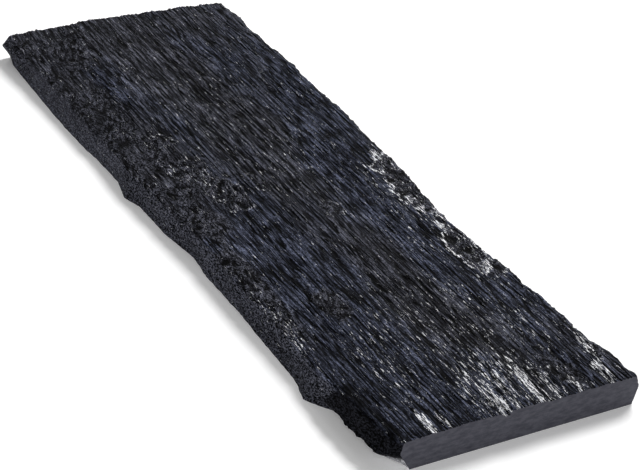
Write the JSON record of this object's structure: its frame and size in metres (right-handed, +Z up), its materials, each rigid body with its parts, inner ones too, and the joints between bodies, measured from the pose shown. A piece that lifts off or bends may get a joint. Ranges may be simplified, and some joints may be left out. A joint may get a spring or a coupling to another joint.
{
  "type": "slate stepping stone",
  "caption": "Long flat slab of dark slate for garden paths: riven grainy face, broken sides, sawn ends and a flat bed.",
  "frame": {"origin": "the middle of the slab's box, on the ground it lies on", "axes": "+X along the slab to its square sawn end, +Y across it, +Z up from the bed to the riven face"},
  "size_m": [0.804, 0.268, 0.0329],
  "materials": {
    "slate": "near-black slate with a blue cast: riven, finely lined and softly glinting on the face, dull on the broken sides, smooth and a little lighter on the sawn ends"
  },
  "bodies": {
    "root": {"slate_slab": "slate"}
  },
  "joints": []
}
